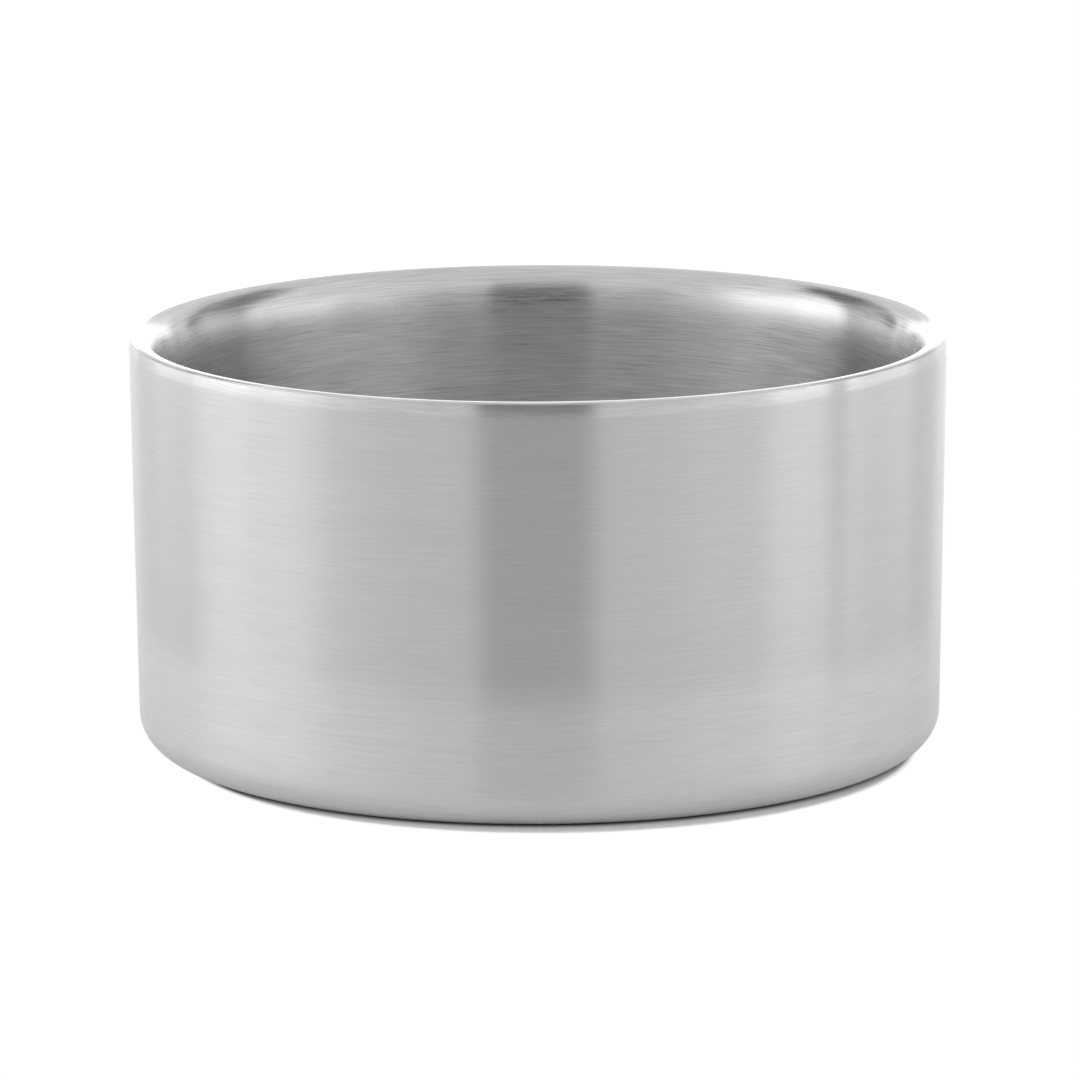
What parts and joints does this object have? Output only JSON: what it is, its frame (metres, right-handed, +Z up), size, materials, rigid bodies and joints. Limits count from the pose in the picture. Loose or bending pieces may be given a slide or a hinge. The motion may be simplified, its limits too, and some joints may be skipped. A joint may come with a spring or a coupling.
{
  "type": "double-walled bowl",
  "caption": "Straight-sided double-walled bowl of brushed stainless steel, with a broad rim rolled inwards and a rounded foot corner.",
  "frame": {"origin": "centre of the base, on the surface that the bowl stands on", "axes": "+Z up along the bowl's axis of revolution, towards the rim"},
  "size_m": [0.2, 0.2, 0.102],
  "materials": {
    "brushed_outside": "fine satin brushing round the wall",
    "brushed_inside": "satin brushing round the wall and floor, smoother on the rim",
    "ground_seam": "weld ground flush with the wall"
  },
  "bodies": {
    "root": {"outer_bowl": "brushed_outside", "inner_bowl": "brushed_inside", "rim_weld": "ground_seam"}
  },
  "joints": []
}
